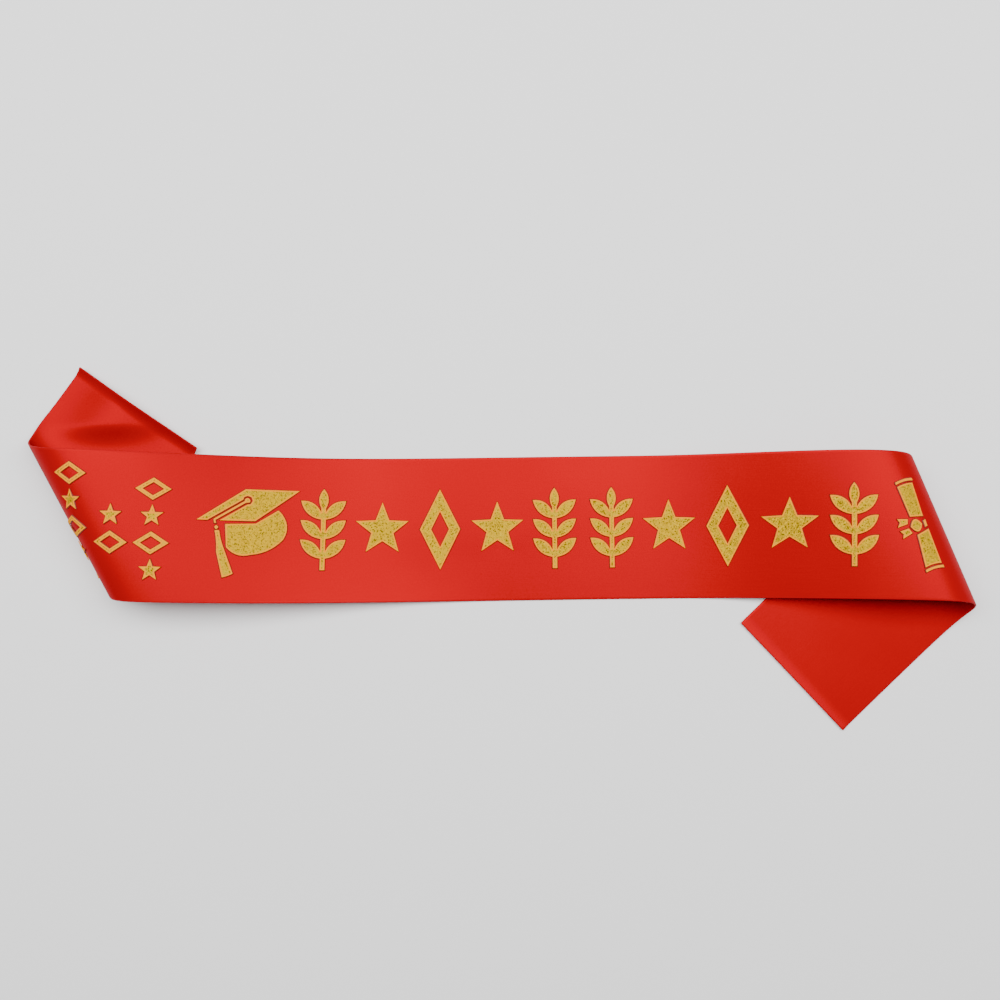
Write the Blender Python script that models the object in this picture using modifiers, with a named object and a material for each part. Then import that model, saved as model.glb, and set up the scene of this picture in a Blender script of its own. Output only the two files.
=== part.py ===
"""Graduation sash: one satin ribbon lying on a table with both ends folded underneath.

The ribbon is worked out flat first. A point on it has a place s along the ribbon, from the middle of
the front panel, and a place t across it. Each fold then rolls the flat ribbon over a fold line, and
the gold film follows the rolled ribbon at a small gap. Metres, +Z up, origin under the panel's middle.
"""

import math
from collections import namedtuple

import bmesh
import bpy
from mathutils import Vector

# Driving dimensions, in metres
SASH_WIDTH = 0.095
PANEL_LENGTH = 0.5845
LEFT_TAIL = 0.0915
RIGHT_TAIL = 0.1415
LOOP_HEIGHT = 0.039
PANEL_BOW = 0.0005
PANEL_SWAY = 0.0052
CLOTH = 0.001
FILM = 0.0005
FILM_GAP = 0.0003

# A fold line's angle is measured from the ribbon's length at the line's upper end, in degrees.
# Heights of the roll at the upper and lower edge of the ribbon are shares of LOOP_HEIGHT, and belly is
# the share of that height that turns under. Landing is the length over which the panel comes down to
# the table, as a share of the reach of the tail that it lies on. Curl is the rise of the cut end as a
# share of CURL_LENGTH. Swing turns the tail in plan, in degrees.
Fold = namedtuple("Fold", "side angle tail height_top height_bottom belly_top belly_bottom landing curl swing")
LEFT_FOLD = Fold(-1, 123.3, LEFT_TAIL, 1.00, 0.94, 0.30, 0.54, 2.22, 0.42, -6.0)
RIGHT_FOLD = Fold(1, 111.7, RIGHT_TAIL, 0.94, 0.99, 0.35, 0.34, 1.31, 0.12, 0.0)

# Soft rises of a tail, which keep their height from there to the cut end: distance past the fold line
# and height as shares of that tail and of LOOP_HEIGHT, place across the ribbon from its lower edge and
# both spreads as shares of SASH_WIDTH. Lean is how far the crest turns out of the cut's line.
Rise = namedtuple("Rise", "fold past across spread_past spread_across height lean")
TAIL_RISES = (
    Rise(LEFT_FOLD, 1.00, 0.10, 0.30, 0.55, 0.05, 0.00),
    Rise(LEFT_FOLD, 0.79, 0.60, 0.12, 0.25, 0.13, 0.67),
)

# The cut ends curl up a little over the last stretch
CURL_LENGTH = 0.008

# The point that a tail swings about, across the fold line and down it, as shares of SASH_WIDTH, and the
# length over which the swing sets in, in radii of the roll's lower half
SWING_PIVOT = (-0.45, -0.43)
SWING_SETTLE = 3.0

# Mesh steps: rulings through each half of a roll, along the panel, along a tail, and across the ribbon
ROLL_STEPS = 13
ROLL_REACH = 3.2
PANEL_STEPS = 24
TAIL_STEPS = 8
ACROSS_STEPS = 6
SIDE_STEPS = 7

# Print positions: s from the panel's middle as a share of PANEL_LENGTH, t as a share of SASH_WIDTH
CAP_PLACE = (-0.287, -0.034)
CAP_SIZE = (0.1055, 0.60)
DIPLOMA_PLACE = (0.443, 0.0)
DIPLOMA_SIZE = (0.0215, 0.62)
DIPLOMA_TILT = 17.0

# Outlines of the cap as (u, v, bulge): u and v are shares of the cap's size from its lower left corner,
# and bulge is the sag of the side to the next corner as a share of its length, outwards if positive
CAP_BOARD = (
    (0.000, 0.644, 0), (0.103, 0.642, 0), (0.440, 0.880, 0), (0.450, 0.912, 0), (0.485, 0.925, 0),
    (0.523, 0.908, 0), (0.535, 0.868, 0), (0.515, 0.830, 0), (0.482, 0.824, 0), (0.222, 0.640, 0),
    (0.568, 0.638, 0), (1.000, 0.994, 0), (0.461, 1.000, 0),
)
CAP_CORD = (
    (0.172, 0.609, 0), (0.190, 0.609, 0), (0.182, 0.643, 0), (0.468, 0.845, 0), (0.506, 0.850, 0.15),
    (0.505, 0.885, 0.25), (0.465, 0.892, 0.15), (0.458, 0.866, 0), (0.164, 0.655, 0),
)
CAP_KNOT = ((0.175, 0.563, 0.5), (0.213, 0.563, 0.5))
CAP_TASSEL = (
    (0.180, 0.525, -0.03), (0.205, 0.290, 0), (0.272, 0.005, 0.04), (0.374, 0.048, 0), (0.282, 0.310, -0.03),
    (0.224, 0.525, 0.1),
)
CAP_SKULL = (
    (0.278, 0.600, 0), (0.298, 0.340, 0.16), (0.540, 0.258, 0.10), (0.850, 0.430, 0.16), (0.835, 0.715, 0.03),
    (0.792, 0.765, 0), (0.575, 0.610, 0),
)

# Outlines of the diploma in the same form, along its own leaning length
DIPLOMA_PARTS = {
    "diploma_upper_end": ((0.00, 0.974, -0.06), (1.00, 0.974, 0), (1.00, 1.000, 0.06), (0.00, 1.000, 0)),
    "diploma_upper_roll": ((0.14, 0.610, 0), (0.84, 0.580, 0), (0.93, 0.950, 0.06), (0.03, 0.950, 0)),
    "diploma_ribbon_upper": ((-0.63, 0.533, 0), (-0.10, 0.542, 0), (-0.02, 0.592, 0), (-0.53, 0.622, 0),
                             (-0.46, 0.576, 0)),
    "diploma_ribbon_lower": ((-0.56, 0.405, 0), (-0.02, 0.436, 0), (-0.12, 0.494, 0), (-0.58, 0.488, 0),
                             (-0.46, 0.449, 0)),
    "diploma_seal": ((0.00, 0.504, 0.5), (0.64, 0.504, 0.5)),
    "diploma_wrap": ((0.76, 0.462, 0), (0.90, 0.470, 0), (0.90, 0.540, 0), (0.76, 0.532, 0)),
    "diploma_lower_roll": ((0.04, 0.052, -0.06), (0.94, 0.052, 0), (0.90, 0.435, 0), (0.20, 0.404, 0)),
    "diploma_lower_end": ((0.00, 0.000, -0.06), (1.00, 0.000, 0), (1.00, 0.026, 0.06), (0.00, 0.026, 0)),
}

# The row of large ornaments, evenly spaced between two places along the panel
ROW_KINDS = ("sprig", "star", "lozenge", "star", "sprig", "sprig", "star", "lozenge", "star", "sprig")
ROW_FIRST = -0.208
ROW_LAST = 0.375
ROW_HEIGHT = 0.56
STAR_HEIGHT = 0.38
SPRIG_WIDTH = 0.30
LOZENGE_WIDTH = 0.28
LOZENGE_STROKE = 0.07

# A star's waist is a share of its outer radius. A sprig's stem width, the feet of its leaves, their
# depth at the stem, their rise to the leaf's point and the foot of its tip are shares of its height.
STAR_WAIST = 0.42
SPRIG_STEM = 0.028
LEAF_FEET = (-0.36, -0.12, 0.12)
LEAF_DEPTH = 0.09
LEAF_RISE = 0.23
LEAF_BULGE = 0.17
TIP_FOOT = 0.26

# The columns of small ornaments: place along the panel and the kinds from top to bottom
Column = namedtuple("Column", "place kinds")
COLUMNS = (
    Column(-0.385, ("diamond", "small_star", "diamond", "small_star")),
    Column(-0.428, ("small_star", "diamond")),
    Column(-0.474, ("diamond", "small_star", "diamond", "small_star", "diamond")),
)
COLUMN_MIDDLE = -0.02
COLUMN_PITCH = 0.18
SMALL_SPAN = 0.226
SMALL_DEPTH = 0.15
SMALL_STROKE = 0.025

RED = (0.60, 0.02, 0.012, 1.0)
GOLD = (0.66, 0.42, 0.08, 1.0)


def smooth_step(x):
    """Go from 0 to 1 with no slope or curvature at either end."""
    x = min(max(x, 0.0), 1.0)
    return x ** 3 * (x * (6 * x - 15) + 10)


def turned(x):
    """Angle that a roll has turned through at x radii from its outermost ruling, at most a quarter."""
    return 2 * math.atan(math.tanh(x / 2))


def closed_in(x):
    """Plan distance, in radii, covered by x radii of cloth from the outermost ruling."""
    return abs(x) + math.log1p(math.exp(-2 * abs(x))) - math.log(2)


def fold_axes(fold):
    """Unit vectors down the fold line and across it, away from the panel, on the flat ribbon."""
    angle = math.radians(fold.angle)
    down = Vector((-math.cos(angle), -math.sin(angle)))
    out = Vector((math.sin(angle), -math.cos(angle))) * fold.side
    return down, out


def half_line(fold):
    """Half the length of the fold line between the ribbon's edges."""
    return SASH_WIDTH / 2 / math.sin(math.radians(fold.angle))


def fold_place(fold, s, t):
    """Distance down the fold line and past it, for a point of the flat ribbon."""
    down, out = fold_axes(fold)
    offset = Vector((s - fold.side * PANEL_LENGTH / 2, t))
    return offset.dot(down), offset.dot(out)


def roll_radii(fold, along):
    """Radii of the roll's upper and lower half at a distance down the fold line."""
    share = min(max(0.5 + 0.5 * along / half_line(fold), -0.5), 1.5)
    tops = roll_end(fold.height_top, fold.belly_top)
    bottoms = roll_end(fold.height_bottom, fold.belly_bottom)
    upper, lower = (top + (bottom - top) * share for top, bottom in zip(tops, bottoms))
    return upper, lower


def roll_end(height, belly):
    """Radii of the roll's two halves from its height and the share that turns under."""
    across = LOOP_HEIGHT * height * 2 / math.pi
    return across * (1 - belly), across * belly


def landing_length(fold):
    """Length over which the panel comes down, from how far the tail reaches under it."""
    _, out = fold_axes(fold)
    reach = fold.tail * abs(out.x) + SASH_WIDTH / 2 * abs(out.y)
    return fold.landing * reach


def roll(fold, s, t):
    """Move of a flat point in plan, and its height, where one fold rolls the ribbon over."""
    down, out = fold_axes(fold)
    along, past = fold_place(fold, s, t)
    upper, lower = roll_radii(fold, along)
    upper_top, lower_top = roll_radii(fold, -half_line(fold))
    upper_bottom, lower_bottom = roll_radii(fold, half_line(fold))
    radius = lower if past > 0 else upper
    plan_past = -radius * closed_in(past / radius) - upper * math.log(2)
    middle = lower * math.pi / 2
    twist = 0.0
    if past > 0:
        # A roll that grows down the fold line swings the tail round a little
        grow = (lower_bottom - lower_top - upper_bottom + upper_top) / (2 * half_line(fold))
        twist = math.log(2) * grow * (past - radius * math.tanh(past / radius))
        height = middle - lower * turned(past / lower)
    else:
        fall = smooth_step(-past / landing_length(fold))
        height = middle + upper * turned(-past / upper) - (upper + lower) * math.pi / 2 * fall
    pivot = (out * SWING_PIVOT[0] + down * SWING_PIVOT[1]) * SASH_WIDTH
    swing = math.radians(fold.swing) * smooth_step(past / (SWING_SETTLE * lower))
    place = out * plan_past + down * (along + twist) - pivot
    cos, sin = math.cos(swing), math.sin(swing)
    place = Vector((place.x * cos - place.y * sin, place.x * sin + place.y * cos)) + pivot
    return place - out * past - down * along, height


def tail_rise(s, t):
    """Extra height of a tail: its soft rises and the curl of its cut end."""
    height = 0.0
    for rise in TAIL_RISES:
        fold = rise.fold
        past = fold.side * s - PANEL_LENGTH / 2
        if past <= 0:
            continue
        off_line = t - (rise.across - 0.5) * SASH_WIDTH
        to_crest = past - rise.past * fold.tail + rise.lean * off_line
        x = min(to_crest, 0.0) / (rise.spread_past * SASH_WIDTH)
        y = off_line / (rise.spread_across * SASH_WIDTH)
        height += rise.height * LOOP_HEIGHT * math.exp(-x * x - y * y) * smooth_step(past / fold.tail * 2)
    for fold in (LEFT_FOLD, RIGHT_FOLD):
        into_curl = fold.side * s - PANEL_LENGTH / 2 - fold.tail + CURL_LENGTH
        if into_curl > 0:
            height += fold.curl * into_curl ** 2 / CURL_LENGTH
    return height


def sash_point(s, t):
    """Point of the ribbon's middle layer."""
    plan = Vector((s, t))
    height = CLOTH / 2 + tail_rise(s, t)
    for fold in (LEFT_FOLD, RIGHT_FOLD):
        move, lift = roll(fold, s, t)
        plan = plan + move
        height += lift
    x = plan.x / (PANEL_LENGTH / 2)
    bend = PANEL_BOW * (x * x - 0.25) - PANEL_SWAY * (x ** 3 - 0.44 * x)
    return Vector((plan.x, plan.y + bend, height))


def sash_normal(s, t):
    """Unit normal of the printed side of the ribbon."""
    step = CLOTH / 10
    along = sash_point(s + step, t) - sash_point(s - step, t)
    across = sash_point(s, t + step) - sash_point(s, t - step)
    return along.cross(across).normalized()


def ruling(fold, past):
    """Where the straight line at a distance past the fold line meets the upper and lower edge."""
    _, out = fold_axes(fold)
    start = fold.side * PANEL_LENGTH / 2
    edges = (SASH_WIDTH / 2, -SASH_WIDTH / 2)
    return tuple(start + (past - edge * out.y) / out.x for edge in edges)


def roll_rulings(fold):
    """Rulings through one roll, closest where it turns most, from the panel to the tail."""
    ends = [roll_radii(fold, side * half_line(fold)) for side in (-1, 1)]
    upper = max(end[0] for end in ends)
    lower = max(end[1] for end in ends)
    spread = [ROLL_REACH * (k / ROLL_STEPS) ** 1.3 for k in range(ROLL_STEPS + 1)]
    inner = [ruling(fold, -upper * x) for x in reversed(spread)]
    outer = [ruling(fold, lower * x) for x in spread[1:]]
    return inner + outer


def between(start, end, steps):
    """Rulings that go evenly from one to another, leaving out both ends."""
    shares = [k / steps for k in range(1, steps)]
    return [tuple(a + (b - a) * share for a, b in zip(start, end)) for share in shares]


def all_rulings():
    """Every ruling of the ribbon, from the left cut end to the right one."""
    left = list(reversed(roll_rulings(LEFT_FOLD)))
    right = roll_rulings(RIGHT_FOLD)
    left_end = (-PANEL_LENGTH / 2 - LEFT_TAIL,) * 2
    right_end = (PANEL_LENGTH / 2 + RIGHT_TAIL,) * 2
    left_curl = (left_end[0] + CURL_LENGTH,) * 2
    right_curl = (right_end[0] - CURL_LENGTH,) * 2
    rulings = [left_end] + between(left_end, left_curl, 3) + [left_curl]
    rulings += between(left_curl, left[0], TAIL_STEPS) + left
    rulings += between(left[-1], right[0], PANEL_STEPS) + right
    rulings += between(right[-1], right_curl, TAIL_STEPS) + [right_curl]
    return rulings + between(right_curl, right_end, 3) + [right_end]


def make_material(name, colour, roughness, metallic):
    material = bpy.data.materials.new(name)
    material.use_nodes = True
    shader = material.node_tree.nodes["Principled BSDF"]
    shader.inputs["Base Color"].default_value = colour
    shader.inputs["Roughness"].default_value = roughness
    shader.inputs["Metallic"].default_value = metallic
    return material


def add_object(name, mesh, collection, material, thickness, offset):
    """Link an open surface as a sub-part and give it its wall."""
    part = bpy.data.objects.new(name, mesh)
    collection.objects.link(part)
    mesh.materials.append(material)
    wall = part.modifiers.new("wall", "SOLIDIFY")
    wall.thickness = thickness
    wall.offset = offset
    return part


def make_band(collection, rulings):
    """The ribbon: a grid with one column of points on each ruling."""
    bm = bmesh.new()
    bmesh.ops.create_grid(bm, x_segments=len(rulings) - 1, y_segments=ACROSS_STEPS, size=1)
    for vert in bm.verts:
        top, bottom = rulings[round((vert.co.x + 1) / 2 * (len(rulings) - 1))]
        share = (vert.co.y + 1) / 2
        vert.co = sash_point(bottom + (top - bottom) * share, (share - 0.5) * SASH_WIDTH)
    mesh = bpy.data.meshes.new("sash_band")
    bm.to_mesh(mesh)
    bm.free()
    mesh.shade_smooth()
    return add_object("sash_band", mesh, collection, make_material("red satin", RED, 0.38, 0.0), CLOTH, 0)


def side_points(start, end, bulge):
    """Points from one corner up to the next: the corner alone, or a shallow arc."""
    start = Vector(start)
    run = Vector(end) - start
    if not bulge:
        return [start]
    outwards = Vector((run.y, -run.x))
    shares = [k / SIDE_STEPS for k in range(SIDE_STEPS)]
    return [start + run * x + outwards * (4 * bulge * x * (1 - x)) for x in shares]


def closed_outline(corners):
    """Outline from (x, y, bulge) corners, anticlockwise."""
    points = []
    for corner, following in zip(corners, corners[1:] + corners[:1]):
        points += side_points(corner[:2], following[:2], corner[2])
    return points


def scaled(corners, width, height):
    """Corners given as shares of a box, made real sizes measured from the box's middle."""
    return tuple(((u - 0.5) * width, (v - 0.5) * height, bulge) for u, v, bulge in corners)


def star(height):
    """Five-pointed star."""
    points = []
    for k in range(10):
        radius = height / 2 * (STAR_WAIST if k % 2 else 1)
        angle = math.radians(90 + 36 * k)
        points.append(Vector((radius * math.cos(angle), radius * math.sin(angle))))
    return [points]


def lozenge(width, height, stroke):
    """Open diamond: an outer and an inner outline."""
    slope = math.hypot(width, height) / 2 * stroke / (width * height / 4)
    outer = [Vector((0, -height / 2)), Vector((width / 2, 0)), Vector((0, height / 2)), Vector((-width / 2, 0))]
    return [outer, [point * (1 - slope) for point in outer]]


def sprig(width, height):
    """Upright twig with three pairs of leaves and one at its tip."""
    stem = SPRIG_STEM * height
    right = [(stem, -height / 2, 0)]
    for foot in LEAF_FEET:
        right.append((stem, foot * height, LEAF_BULGE))
        right.append((width / 2, (foot + LEAF_RISE) * height, LEAF_BULGE))
        right.append((stem, (foot + LEAF_DEPTH) * height, 0))
    right.append((stem, TIP_FOOT * height, LEAF_BULGE))
    tip = (0, height / 2, LEAF_BULGE)
    # On the way down the left side a corner takes the bulge of the side that the right one ends
    bulges = [bulge for _, _, bulge in reversed(right[:-1])] + [0]
    left = [(-x, y, bulge) for (x, y, _), bulge in zip(reversed(right), bulges)]
    return [closed_outline(tuple(right) + (tip,) + tuple(left))]


def filled_outline(outlines):
    """Flat mesh from closed outlines, by a filled two-dimensional curve."""
    curve = bpy.data.curves.new("outline", "CURVE")
    curve.dimensions = "2D"
    curve.fill_mode = "BOTH"
    for outline in outlines:
        spline = curve.splines.new("POLY")
        spline.points.add(len(outline) - 1)
        for point, place in zip(spline.points, outline):
            point.co = (place.x, place.y, 0, 1)
        spline.use_cyclic_u = True
    guide = bpy.data.objects.new("outline", curve)
    bpy.context.scene.collection.objects.link(guide)
    shape = guide.evaluated_get(bpy.context.evaluated_depsgraph_get())
    mesh = bpy.data.meshes.new_from_object(shape)
    bpy.data.objects.remove(guide)
    bpy.data.curves.remove(curve)
    return mesh


def make_film(name, outlines, place, turn, rulings, collection, material):
    """One island of gold film: filled flat, cut along the ribbon's rulings, then laid on it."""
    mesh = filled_outline(outlines)
    mesh.name = name
    bm = bmesh.new()
    bm.from_mesh(mesh)
    bmesh.ops.remove_doubles(bm, verts=bm.verts, dist=FILM / 1000)
    cos, sin = math.cos(math.radians(turn)), math.sin(math.radians(turn))
    for vert in bm.verts:
        x, y = vert.co.x, vert.co.y
        vert.co = (place[0] + cos * x - sin * y, place[1] + sin * x + cos * y, 0)
    low = min(vert.co.x for vert in bm.verts)
    high = max(vert.co.x for vert in bm.verts)
    for top, bottom in rulings:
        if max(top, bottom) < low or min(top, bottom) > high:
            continue
        across = Vector((SASH_WIDTH, bottom - top, 0))
        geometry = bm.verts[:] + bm.edges[:] + bm.faces[:]
        bmesh.ops.bisect_plane(bm, geom=geometry, dist=FILM / 50,
                               plane_co=(top, SASH_WIDTH / 2, 0), plane_no=across)
    if sum(face.normal.z for face in bm.faces) < 0:
        bmesh.ops.reverse_faces(bm, faces=bm.faces)
    rise = CLOTH / 2 + FILM_GAP
    for vert in bm.verts:
        s, t = vert.co.x, vert.co.y
        vert.co = sash_point(s, t) + sash_normal(s, t) * rise
    bm.to_mesh(mesh)
    bm.free()
    return add_object(name, mesh, collection, material, FILM, 1)


def panel_place(place):
    """Place on the flat ribbon from shares of its length and width."""
    return place[0] * PANEL_LENGTH, place[1] * SASH_WIDTH


def make_cap(film):
    size = (CAP_SIZE[0] * PANEL_LENGTH, CAP_SIZE[1] * SASH_WIDTH)
    outlines = {
        "cap_board": CAP_BOARD,
        "cap_cord": CAP_CORD,
        "cap_knot": CAP_KNOT,
        "cap_tassel": CAP_TASSEL,
        "cap_skull": CAP_SKULL,
    }
    for name, corners in outlines.items():
        film(name, [closed_outline(scaled(corners, *size))], panel_place(CAP_PLACE), 0)


def make_diploma(film):
    size = (DIPLOMA_SIZE[0] * PANEL_LENGTH, DIPLOMA_SIZE[1] * SASH_WIDTH)
    for name, corners in DIPLOMA_PARTS.items():
        film(name, [closed_outline(scaled(corners, *size))], panel_place(DIPLOMA_PLACE), DIPLOMA_TILT)


def make_row(film):
    """Large ornaments along the middle of the panel."""
    shapes = {
        "star": star(STAR_HEIGHT * SASH_WIDTH),
        "sprig": sprig(SPRIG_WIDTH * SASH_WIDTH, ROW_HEIGHT * SASH_WIDTH),
        "lozenge": lozenge(LOZENGE_WIDTH * SASH_WIDTH, ROW_HEIGHT * SASH_WIDTH, LOZENGE_STROKE * SASH_WIDTH),
    }
    pitch = (ROW_LAST - ROW_FIRST) / (len(ROW_KINDS) - 1)
    for k, kind in enumerate(ROW_KINDS):
        film(f"{kind}_{k + 1}", shapes[kind], panel_place((ROW_FIRST + pitch * k, 0)), 0)


def make_columns(film):
    """Small ornaments in columns across the left end of the panel."""
    shapes = {
        "small_star": star(SMALL_DEPTH * SASH_WIDTH),
        "diamond": lozenge(SMALL_SPAN * SASH_WIDTH, SMALL_DEPTH * SASH_WIDTH, SMALL_STROKE * SASH_WIDTH),
    }
    for c, column in enumerate(COLUMNS):
        middle = (len(column.kinds) - 1) / 2
        for k, kind in enumerate(column.kinds):
            place = panel_place((column.place, COLUMN_MIDDLE + (middle - k) * COLUMN_PITCH))
            film(f"{kind}_{c + 1}_{k + 1}", shapes[kind], place, 0)


def main():
    for old in list(bpy.data.objects):
        bpy.data.objects.remove(old)
    collection = bpy.data.collections.new("graduation_sash")
    bpy.context.scene.collection.children.link(collection)
    rulings = all_rulings()
    make_band(collection, rulings)

    def film(name, outlines, place, turn):
        gold = make_material(f"gold glitter {name}", GOLD, 0.45, 0.8)
        return make_film(name, outlines, place, turn, rulings, collection, gold)

    make_cap(film)
    make_diploma(film)
    make_row(film)
    make_columns(film)


main()
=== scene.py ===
"""Looks of the graduation sash: a red satin ribbon, folded under at both ends, with a gold print."""

import math
from collections import namedtuple

import bmesh
import bpy
import numpy as np
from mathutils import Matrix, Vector


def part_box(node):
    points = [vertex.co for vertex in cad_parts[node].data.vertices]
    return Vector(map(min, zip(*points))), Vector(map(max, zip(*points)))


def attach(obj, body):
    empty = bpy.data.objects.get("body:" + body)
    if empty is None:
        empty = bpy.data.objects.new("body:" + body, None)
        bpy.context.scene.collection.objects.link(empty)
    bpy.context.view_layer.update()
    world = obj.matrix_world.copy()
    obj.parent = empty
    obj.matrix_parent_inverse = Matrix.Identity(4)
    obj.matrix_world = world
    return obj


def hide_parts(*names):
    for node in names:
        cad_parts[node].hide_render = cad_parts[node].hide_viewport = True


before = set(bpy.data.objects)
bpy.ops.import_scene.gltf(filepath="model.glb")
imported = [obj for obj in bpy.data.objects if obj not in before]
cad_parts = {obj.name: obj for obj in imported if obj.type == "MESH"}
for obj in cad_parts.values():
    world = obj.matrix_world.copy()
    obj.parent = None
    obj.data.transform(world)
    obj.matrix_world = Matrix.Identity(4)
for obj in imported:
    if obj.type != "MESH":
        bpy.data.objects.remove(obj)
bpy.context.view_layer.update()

# Camera, looking almost straight down at the sash on its table, from over the panel's lower edge.
camera_data = bpy.data.cameras.new("camera")
camera_data.lens = 36.21
camera = bpy.data.objects.new("camera", camera_data)
camera.location = (-0.0136, -0.0392, 0.6657)
camera.rotation_euler = (math.radians(4.996), math.radians(-0.610), math.radians(-0.413))
bpy.context.scene.collection.objects.link(camera)
bpy.context.scene.camera = camera

# The ribbon: one length of woven polyester satin, cut square at both ends, with a soft roll where each
# end is folded underneath. It is made as a flat grid, which the two folds roll over, and then gets its
# wall. Its shape is worked out from named sizes, the same as in the solid that it stands for.
SASH_WIDTH = 0.095
PANEL_LENGTH = 0.5845
LEFT_TAIL = 0.0915
RIGHT_TAIL = 0.1415
LOOP_HEIGHT = 0.039
PANEL_BOW = 0.0005
PANEL_SWAY = 0.0052
CLOTH = 0.001
EDGE_ROUND = 0.0003
CURL_LENGTH = 0.008

# The point that a tail swings about, across the fold line and down it, as shares of SASH_WIDTH, and the
# length over which the swing sets in, in radii of the roll's lower half
SWING_PIVOT = (-0.45, -0.43)
SWING_SETTLE = 3.0

# A fold line's angle is measured from the ribbon's length, in degrees. Heights at the two edges are
# shares of LOOP_HEIGHT, belly is the share that turns under, landing is a share of the tail's reach, and
# curl is the rise of the cut end as a share of CURL_LENGTH. Swing turns the tail in plan, in degrees.
Fold = namedtuple(
    "Fold", "side angle tail height_top height_bottom belly_top belly_bottom landing curl swing"
)
LEFT_FOLD = Fold(-1, 123.3, LEFT_TAIL, 1.00, 0.94, 0.30, 0.54, 2.22, 0.42, -6.0)
RIGHT_FOLD = Fold(1, 111.7, RIGHT_TAIL, 0.94, 0.99, 0.35, 0.34, 1.31, 0.12, 0.0)

# Soft rises of a tail, which keep their height from there to the cut end: shares of the tail, of
# SASH_WIDTH and, for the height, of LOOP_HEIGHT. Lean is how far the crest turns out of the cut's line.
Rise = namedtuple("Rise", "fold past across spread_past spread_across height lean")
TAIL_RISES = (
    Rise(LEFT_FOLD, 1.00, 0.10, 0.30, 0.55, 0.05, 0.00),
    Rise(LEFT_FOLD, 0.79, 0.60, 0.12, 0.25, 0.13, 0.67),
)

# How finely the grid is cut. A roll's rulings reach out to ROLL_REACH radii and crowd at its fold line.
ROLL_STEPS = 40
ROLL_REACH = 3.2
ROLL_CROWDING = 1.3
PANEL_STEPS = 160
TAIL_STEPS = 40
CURL_STEPS = 8
ACROSS_STEPS = 60


def smooth_step(x):
    """Go from 0 to 1 with no slope or curvature at either end."""
    x = min(max(x, 0.0), 1.0)
    return x ** 3 * (x * (6 * x - 15) + 10)


def fold_axes(fold):
    """Unit vectors down the fold line and across it, away from the panel, on the flat ribbon."""
    angle = math.radians(fold.angle)
    down = Vector((-math.cos(angle), -math.sin(angle)))
    out = Vector((math.sin(angle), -math.cos(angle))) * fold.side
    return down, out


def half_line(fold):
    """Half the length of the fold line between the ribbon's edges."""
    return SASH_WIDTH / 2 / math.sin(math.radians(fold.angle))


def roll_radii(fold, along):
    """Radii of the roll's upper and lower half at a distance down the fold line."""
    share = min(max(0.5 + 0.5 * along / half_line(fold), -0.5), 1.5)
    top = LOOP_HEIGHT * fold.height_top * 2 / math.pi
    bottom = LOOP_HEIGHT * fold.height_bottom * 2 / math.pi
    upper_ends = (top * (1 - fold.belly_top), bottom * (1 - fold.belly_bottom))
    lower_ends = (top * fold.belly_top, bottom * fold.belly_bottom)
    return tuple(a + (b - a) * share for a, b in (upper_ends, lower_ends))


def roll(fold, s, t):
    """Move of a flat point in plan, and its height, where one fold rolls the ribbon over."""
    down, out = fold_axes(fold)
    offset = Vector((s - fold.side * PANEL_LENGTH / 2, t))
    along, past = offset.dot(down), offset.dot(out)
    upper, lower = roll_radii(fold, along)
    upper_top, lower_top = roll_radii(fold, -half_line(fold))
    upper_bottom, lower_bottom = roll_radii(fold, half_line(fold))
    radius = lower if past > 0 else upper
    turns = abs(past) / radius
    covered = turns + math.log1p(math.exp(-2 * turns)) - math.log(2)
    angle = 2 * math.atan(math.tanh(turns / 2))
    middle = lower * math.pi / 2
    twist = 0.0
    if past > 0:
        grow = (lower_bottom - lower_top - upper_bottom + upper_top) / (2 * half_line(fold))
        twist = math.log(2) * grow * (past - radius * math.tanh(past / radius))
        height = middle - lower * angle
    else:
        reach = fold.tail * abs(out.x) + SASH_WIDTH / 2 * abs(out.y)
        fall = smooth_step(-past / (fold.landing * reach))
        height = middle + upper * angle - (upper + lower) * math.pi / 2 * fall
    plan_past = -radius * covered - upper * math.log(2)
    pivot = (out * SWING_PIVOT[0] + down * SWING_PIVOT[1]) * SASH_WIDTH
    swing = math.radians(fold.swing) * smooth_step(past / (SWING_SETTLE * lower))
    place = out * plan_past + down * (along + twist) - pivot
    cos, sin = math.cos(swing), math.sin(swing)
    place = Vector((place.x * cos - place.y * sin, place.x * sin + place.y * cos)) + pivot
    return place - offset, height


def tail_rise(s, t):
    """Extra height of a tail: its soft rises and the curl of its cut end."""
    height = 0.0
    for rise in TAIL_RISES:
        past = rise.fold.side * s - PANEL_LENGTH / 2
        if past > 0:
            off_line = t - (rise.across - 0.5) * SASH_WIDTH
            to_crest = past - rise.past * rise.fold.tail + rise.lean * off_line
            x = min(to_crest, 0.0) / (rise.spread_past * SASH_WIDTH)
            y = off_line / (rise.spread_across * SASH_WIDTH)
            fade = smooth_step(past / rise.fold.tail * 2)
            height += rise.height * LOOP_HEIGHT * math.exp(-x * x - y * y) * fade
    for fold in (LEFT_FOLD, RIGHT_FOLD):
        into_curl = fold.side * s - PANEL_LENGTH / 2 - fold.tail + CURL_LENGTH
        height += fold.curl * max(into_curl, 0.0) ** 2 / CURL_LENGTH
    return height


def sash_point(s, t):
    """Point of the ribbon's middle layer for a place along and across the flat ribbon."""
    plan = Vector((s, t))
    height = CLOTH / 2 + tail_rise(s, t)
    for fold in (LEFT_FOLD, RIGHT_FOLD):
        move, lift = roll(fold, s, t)
        plan = plan + move
        height += lift
    x = plan.x / (PANEL_LENGTH / 2)
    bend = PANEL_BOW * (x * x - 0.25) - PANEL_SWAY * (x ** 3 - 0.44 * x)
    return Vector((plan.x, plan.y + bend, height))


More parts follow.
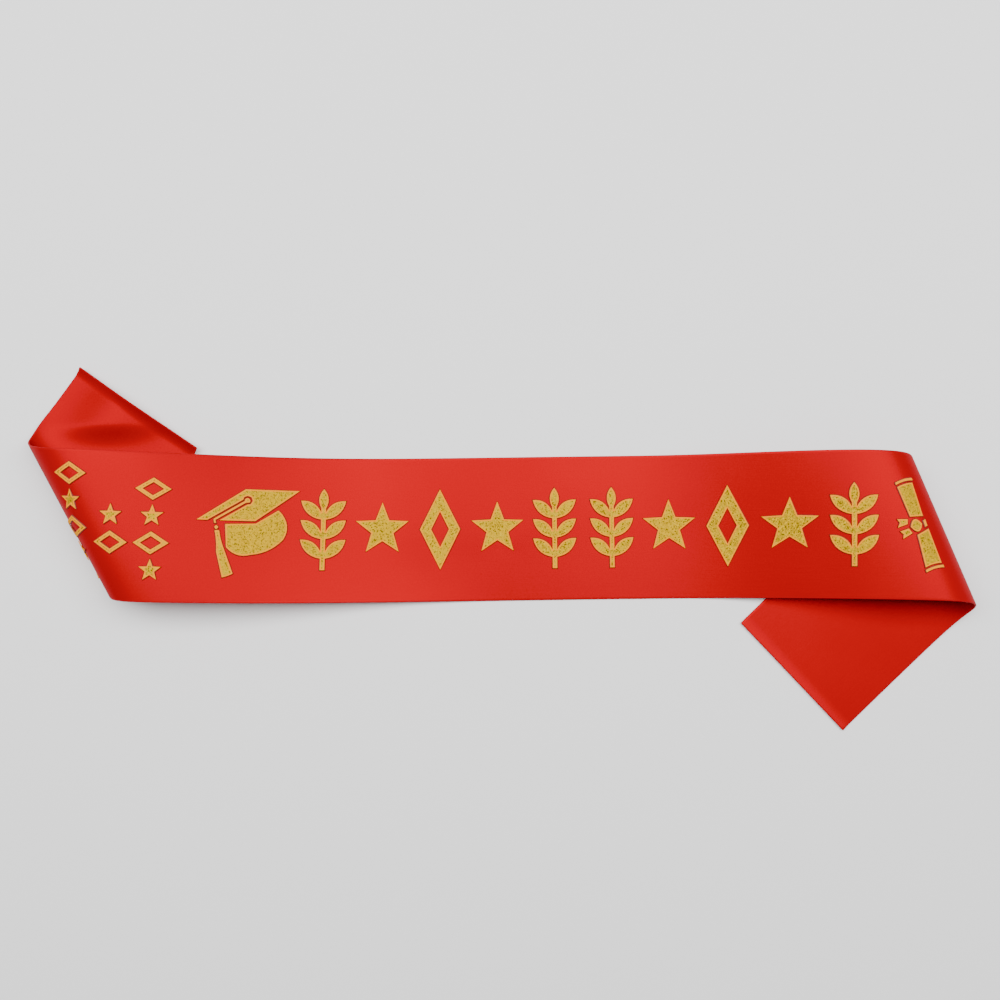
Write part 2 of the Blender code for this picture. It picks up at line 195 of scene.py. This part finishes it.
def ruling(fold, past):
    """Where the straight line at a distance past the fold line meets the upper and lower edge."""
    _, out = fold_axes(fold)
    edges = (SASH_WIDTH / 2, -SASH_WIDTH / 2)
    return tuple(fold.side * PANEL_LENGTH / 2 + (past - t * out.y) / out.x for t in edges)


def between(start, end, steps):
    """Rulings that go evenly from one to another, with the first and without the last."""
    return [tuple(a + (b - a) * k / steps for a, b in zip(start, end)) for k in range(steps)]


def roll_rulings(fold):
    """Rulings through one roll, closest where it turns most, from the panel to the tail."""
    ends = [roll_radii(fold, side * half_line(fold)) for side in (-1, 1)]
    upper, lower = (max(end[k] for end in ends) for k in (0, 1))
    spread = [ROLL_REACH * (k / ROLL_STEPS) ** ROLL_CROWDING for k in range(ROLL_STEPS + 1)]
    on_panel = [ruling(fold, -upper * x) for x in reversed(spread)]
    return on_panel + [ruling(fold, lower * x) for x in spread[1:]]


left_roll = roll_rulings(LEFT_FOLD)[::-1]
right_roll = roll_rulings(RIGHT_FOLD)
left_end = (-PANEL_LENGTH / 2 - LEFT_TAIL,) * 2
right_end = (PANEL_LENGTH / 2 + RIGHT_TAIL,) * 2
left_curl = (left_end[0] + CURL_LENGTH,) * 2
right_curl = (right_end[0] - CURL_LENGTH,) * 2
rulings = between(left_end, left_curl, CURL_STEPS) + between(left_curl, left_roll[0], TAIL_STEPS)
rulings += left_roll[:-1] + between(left_roll[-1], right_roll[0], PANEL_STEPS)
rulings += right_roll[:-1] + between(right_roll[-1], right_curl, TAIL_STEPS)
rulings += between(right_curl, right_end, CURL_STEPS) + [right_end]

ribbon_shape = bmesh.new()
bmesh.ops.create_grid(ribbon_shape, x_segments=len(rulings) - 1, y_segments=ACROSS_STEPS, size=1)
flat = ribbon_shape.loops.layers.uv.new("flat")
flat_places = {}
for vert in ribbon_shape.verts:
    top, bottom = rulings[round((vert.co.x + 1) / 2 * (len(rulings) - 1))]
    share = (vert.co.y + 1) / 2
    place = (bottom + (top - bottom) * share, (share - 0.5) * SASH_WIDTH)
    flat_places[vert] = place
    vert.co = sash_point(*place)
for face in ribbon_shape.faces:
    for loop in face.loops:
        loop[flat].uv = flat_places[loop.vert]
ribbon_mesh = bpy.data.meshes.new("satin_ribbon")
ribbon_shape.to_mesh(ribbon_mesh)
ribbon_shape.free()
ribbon_mesh.shade_smooth()
ribbon = bpy.data.objects.new("satin_ribbon", ribbon_mesh)
bpy.context.scene.collection.objects.link(ribbon)
wall = ribbon.modifiers.new("wall", "SOLIDIFY")
wall.thickness = CLOTH
wall.offset = 0
edge = ribbon.modifiers.new("edge", "BEVEL")
edge.width = EDGE_ROUND
edge.segments = 2
edge.limit_method = "ANGLE"
edge.angle_limit = math.radians(60)


def add_node(tree, kind, links=None, **values):
    """Add a node. Links and values are keyed by an input's name or number, or by a property's name."""
    node = tree.nodes.new(kind)
    for key, value in values.items():
        setattr(node, key, value)
    for key, value in (links or {}).items():
        if isinstance(value, bpy.types.NodeSocket):
            tree.links.new(value, node.inputs[key])
        else:
            node.inputs[key].default_value = value
    return node


def add_math(tree, operation, *values):
    """Add a Math node and give its result."""
    return add_node(tree, "ShaderNodeMath", dict(enumerate(values)), operation=operation).outputs[0]


def mix_colours(tree, share, first, second):
    """Mix two colours by a share and give the result."""
    links = {"Factor": share, 6: first, 7: second}
    return add_node(tree, "ShaderNodeMix", links, data_type="RGBA", clamp_factor=True).outputs[2]


def new_material(name):
    """Make a material and give it with its node tree and shader."""
    material = bpy.data.materials.new(name)
    material.use_nodes = True
    return material, material.node_tree, material.node_tree.nodes["Principled BSDF"]


# Colours of the satin, and the scale of its long float threads. Its base colour has faint painted sheen
# bands across the ribbon, BAND_PITCH apart, with one at BAND_PEAK along it, all moved a little by soft
# clouds.
SATIN_RED = (0.37, 0.0010, 0.0050, 1.0)
SATIN_DEEP = (0.32, 0.0005, 0.0040, 1.0)
SATIN_EDGE = (0.38, 0.0020, 0.0060, 1.0)
FLOAT_LENGTH = 0.025
THREAD = 0.00035
SELVEDGE = 0.0012
BAND_PITCH = 0.18
BAND_PEAK = 0.078
BAND_DRIFT = 0.06
BAND_SHARE = 0.3
STREAK_SHARE = 0.4
CLOUDS_PER_METRE = 22
WEAVE_DEPTH = 0.00003
SATIN_METALLIC = 0.22
SATIN_ROUGHNESS = (0.30, 0.10)

satin, tree, shader = new_material("red_satin")
flat_map = add_node(tree, "ShaderNodeUVMap", uv_map="flat").outputs["UV"]
stretch = {"Vector": flat_map, "Scale": (1 / FLOAT_LENGTH, 1 / THREAD, 1)}
threads = add_node(tree, "ShaderNodeMapping", stretch).outputs[0]
fine = {"Vector": threads, "Scale": 1, "Detail": 2}
streaks = add_node(tree, "ShaderNodeTexNoise", fine, noise_dimensions="2D").outputs[0]
coarse = {"Vector": flat_map, "Scale": CLOUDS_PER_METRE, "Detail": 1}
clouds = add_node(tree, "ShaderNodeTexNoise", coarse, noise_dimensions="2D").outputs[0]
axes = add_node(tree, "ShaderNodeSeparateXYZ", {0: flat_map})
drift = add_math(tree, "MULTIPLY_ADD", clouds, BAND_DRIFT, -BAND_PEAK - BAND_DRIFT / 2)
past_peak = add_math(tree, "ADD", axes.outputs["X"], drift)
turns = add_math(tree, "MULTIPLY", past_peak, 2 * math.pi / BAND_PITCH)
# Painted sheen: lighter and darker bands across the ribbon, put into the base colour.
painted_sheen_bands = add_math(tree, "MULTIPLY_ADD", add_math(tree, "COSINE", turns), BAND_SHARE, BAND_SHARE)
threads_and_painted_sheen = add_math(tree, "MULTIPLY_ADD", streaks, STREAK_SHARE, painted_sheen_bands)
across = axes.outputs["Y"]
to_edge = add_math(tree, "SUBTRACT", SASH_WIDTH / 2, add_math(tree, "ABSOLUTE", across))
selvedge = add_math(tree, "LESS_THAN", to_edge, SELVEDGE)
# The thread streaks and the painted sheen bands mix the base colour between SATIN_DEEP and SATIN_RED.
body_colour = mix_colours(tree, threads_and_painted_sheen, SATIN_DEEP, SATIN_RED)
tree.links.new(mix_colours(tree, selvedge, body_colour, SATIN_EDGE), shader.inputs["Base Color"])
smoothest, roughening = SATIN_ROUGHNESS
tree.links.new(add_math(tree, "MULTIPLY_ADD", streaks, roughening, smoothest), shader.inputs["Roughness"])
weave = add_node(tree, "ShaderNodeBump", {"Height": streaks, "Distance": WEAVE_DEPTH, "Strength": 0.6})
tree.links.new(weave.outputs[0], shader.inputs["Normal"])
shader.inputs["Metallic"].default_value = SATIN_METALLIC
shader.inputs["Specular IOR Level"].default_value = 0.0
shader.inputs["Anisotropic"].default_value = 0.4
ribbon_mesh.materials.append(satin)
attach(ribbon, "root")
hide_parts("sash_band")

# The print: islands of gold glitter film pressed on the satin, each with a smooth rim where the film
# was cut, coloured lighter there as a painted highlight. Each is cut into a fine net from its plain solid,
# and carries its distance to the rim.
# The foot of its wall is pushed out by FLARE where the film faces up, so that the wall's dark colour,
# a painted shadow line around the film, shows from above.
NET = 0.0007
WELD = 0.000001
RIM = 0.0009
RIM_ANGLE = 50
FILM = 0.0005
FLARE = 0.0005
FLARE_LIMIT = 0.4
WALL_SHOWS = 0.45
WALL_LEAN = 0.3
SAME_WALL = 0.995
SMOOTH_ANGLE = 30
GLITTER_GOLD = (0.42, 0.245, 0.0, 1.0)
GLITTER_DARK = (0.10, 0.070, 0.0, 1.0)
GLITTER_PALE = (0.50, 0.330, 0.01, 1.0)
# The lighter rim gold: a painted highlight along the film's cut edge.
RIM_HIGHLIGHT_GOLD = (0.84, 0.275, 0.0, 1.0)
# The dark colour of the films' walls: a painted shadow line around each film.
FILM_EDGE_SHADE = (0.15, 0.008, 0.001, 1.0)

# Glitter flakes: their size, how far they tilt, which of them are pale or dark (their random tone runs
# from 0 to 1) and by how much, and the stretch, in shares of RIM, over which the rim turns to glitter
FLAKE = 0.0007
FLAKE_TILT = 0.5
PALE_OVER = 0.85
PALE_SHARE = 0.6
DARK_UNDER = 0.14
DARK_SHARE = 0.8
RIM_FADE = (0.8, 1.15)
GRAINS_PER_METRE = 900
GRAIN_SHARE = 0.2
GLITTER_METALLIC = 0.30


def rim_distance(points, starts, ends):
    """Distance from each point to the nearest of some straight edges."""
    runs = ends - starts
    nearest = np.full(len(points), 1.0)
    for start, run in zip(starts, runs):
        share = np.clip((points - start) @ run / (run @ run), 0, 1)
        nearest = np.minimum(nearest, np.linalg.norm(points - start - share[:, None] * run, axis=1))
    return nearest


def flare_walls(shape, rim):
    """Push the foot of a film's wall outwards, so that its dark wall, a painted shadow line, shows from
    above.
    """
    rim_verts = {vert for edge in rim for vert in edge.verts}
    moves = {}
    for vert in rim_verts:
        others = [edge.other_vert(vert) for edge in vert.link_edges]
        rungs = [other.co - vert.co for other in others if other in rim_verts]
        rungs = [rung for rung in rungs if abs(rung.length - FILM) < FILM / 20]
        if not rungs:
            continue
        up = max(rungs, key=lambda rung: abs(rung.z)).normalized()
        walls = []
        for face in vert.link_faces:
            if abs(face.normal.dot(up)) < WALL_LEAN:
                # Sideways walls of an upward film take the dark wall colour, a painted shadow line.
                face.material_index = int(abs(up.z) > WALL_SHOWS)
                if all(face.normal.dot(wall) < SAME_WALL for wall in walls):
                    walls.append(face.normal.copy())
        if up.z > WALL_SHOWS and walls:
            out = sum(walls, Vector()) / len(walls)
            moves[vert] = out * (FLARE / max(out.length_squared, FLARE_LIMIT))
    for vert, move in moves.items():
        vert.co += move


def cut_film(node):
    """A finely cut copy of one film's solid, with its distance to the rim as an attribute."""
    shape = bmesh.new()
    shape.from_mesh(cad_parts[node].data)
    bmesh.ops.remove_doubles(shape, verts=shape.verts, dist=WELD)
    rim = [edge for edge in shape.edges if edge.calc_face_angle(0) > math.radians(RIM_ANGLE)]
    starts, ends = (np.array([edge.verts[k].co for edge in rim]) for k in (0, 1))
    flare_walls(shape, rim)
    low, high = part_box(node)
    for axis in (0, 1):
        normal = [0, 0, 0]
        normal[axis] = 1
        steps = int((high[axis] - low[axis]) / NET)
        for k in range(1, steps + 1):
            centre = [0, 0, 0]
            centre[axis] = low[axis] + NET * k
            geometry = shape.verts[:] + shape.edges[:] + shape.faces[:]
            bmesh.ops.bisect_plane(shape, geom=geometry, dist=WELD, plane_co=centre, plane_no=normal)
    mesh = bpy.data.meshes.new(f"{node}_film")
    shape.to_mesh(mesh)
    shape.free()
    mesh.shade_smooth()
    mesh.set_sharp_from_angle(angle=math.radians(SMOOTH_ANGLE))
    points = np.array([vert.co for vert in mesh.vertices])
    inset = mesh.attributes.new("inset", "FLOAT", "POINT")
    inset.data.foreach_set("value", np.minimum(rim_distance(points, starts, ends) / RIM, 2))
    return mesh


glitter, tree, shader = new_material("gold_glitter")
place = add_node(tree, "ShaderNodeTexCoord").outputs["Object"]
flakes = add_node(tree, "ShaderNodeTexVoronoi", {"Vector": place, "Scale": 1 / FLAKE})
tone = add_node(tree, "ShaderNodeSeparateColor", {0: flakes.outputs["Color"]})
dust = {"Vector": place, "Scale": GRAINS_PER_METRE, "Detail": 2}
grains = add_node(tree, "ShaderNodeTexNoise", dust).outputs[0]
inset = add_node(tree, "ShaderNodeAttribute", attribute_name="inset").outputs["Fac"]
in_body = add_node(tree, "ShaderNodeMapRange", {0: inset, 1: RIM_FADE[0], 2: RIM_FADE[1]}).outputs[0]
pale = add_math(tree, "MULTIPLY", add_math(tree, "GREATER_THAN", tone.outputs[0], PALE_OVER), PALE_SHARE)
dark = add_math(tree, "MULTIPLY", add_math(tree, "LESS_THAN", tone.outputs[1], DARK_UNDER), DARK_SHARE)
speckled = mix_colours(tree, dark, mix_colours(tree, pale, GLITTER_GOLD, GLITTER_PALE), GLITTER_DARK)
speckled = mix_colours(tree, add_math(tree, "MULTIPLY", grains, GRAIN_SHARE), speckled, GLITTER_PALE)
# Near the rim the colour turns to the lighter rim gold, a painted highlight along the cut edge.
tree.links.new(mix_colours(tree, in_body, RIM_HIGHLIGHT_GOLD, speckled), shader.inputs["Base Color"])
centred = {0: flakes.outputs["Color"], 1: (0.5, 0.5, 0.5)}
tilt = add_node(tree, "ShaderNodeVectorMath", centred, operation="SUBTRACT")
tilt = add_node(tree, "ShaderNodeVectorMath", {0: tilt.outputs[0], "Scale": FLAKE_TILT}, operation="SCALE")
facing = add_node(tree, "ShaderNodeNewGeometry").outputs["Normal"]
facet = add_node(tree, "ShaderNodeVectorMath", {0: facing, 1: tilt.outputs[0]}, operation="ADD")
facet = add_node(tree, "ShaderNodeVectorMath", {0: facet.outputs[0]}, operation="NORMALIZE")
tree.links.new(facet.outputs[0], shader.inputs["Normal"])
tree.links.new(add_math(tree, "MULTIPLY", in_body, GLITTER_METALLIC), shader.inputs["Metallic"])
shader.inputs["Roughness"].default_value = 0.45
shader.inputs["Specular IOR Level"].default_value = 0.0

# The dark wall material: a painted shadow line around each film.
film_edge_shade, tree, shader = new_material("film_edge_shade")
shader.inputs["Base Color"].default_value = FILM_EDGE_SHADE
shader.inputs["Roughness"].default_value = 0.6

films = [node for node in sorted(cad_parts) if node != "sash_band"]
for node in films:
    film_mesh = cut_film(node)
    film_mesh.materials.append(glitter)
    film_mesh.materials.append(film_edge_shade)
    film = bpy.data.objects.new(f"{node}_film", film_mesh)
    bpy.context.scene.collection.objects.link(film)
    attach(film, "root")
    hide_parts(node)

# The table: a plain pale painted board. It lies a hair below the ribbon.
TABLE_SIZE = 4.0
TABLE_DROP = 0.0002
table_shape = bmesh.new()
bmesh.ops.create_grid(table_shape, x_segments=1, y_segments=1, size=TABLE_SIZE / 2)
bmesh.ops.translate(table_shape, verts=table_shape.verts, vec=(0, 0, -TABLE_DROP))
table_mesh = bpy.data.meshes.new("table")
table_shape.to_mesh(table_mesh)
table_shape.free()
table = bpy.data.objects.new("table", table_mesh)
bpy.context.scene.collection.objects.link(table)
board, tree, shader = new_material("pale_board")
shader.inputs["Base Color"].default_value = (0.88, 0.88, 0.88, 1.0)
shader.inputs["Roughness"].default_value = 0.8
table_mesh.materials.append(board)

# The studio: one long soft box overhead, set back behind the sash, in a pale room.
light_data = bpy.data.lights.new("overhead", "AREA")
light_data.shape = "RECTANGLE"
light_data.size = 3.6
light_data.size_y = 0.92
light_data.energy = 81
light = bpy.data.objects.new("overhead", light_data)
light.location = (0.0, 0.40, 1.50)
bpy.context.scene.collection.objects.link(light)
room = bpy.data.worlds.new("room")
room.use_nodes = True
room.node_tree.nodes["Background"].inputs["Color"].default_value = (1.0, 1.0, 1.0, 1.0)
room.node_tree.nodes["Background"].inputs["Strength"].default_value = 0.22
bpy.context.scene.world = room
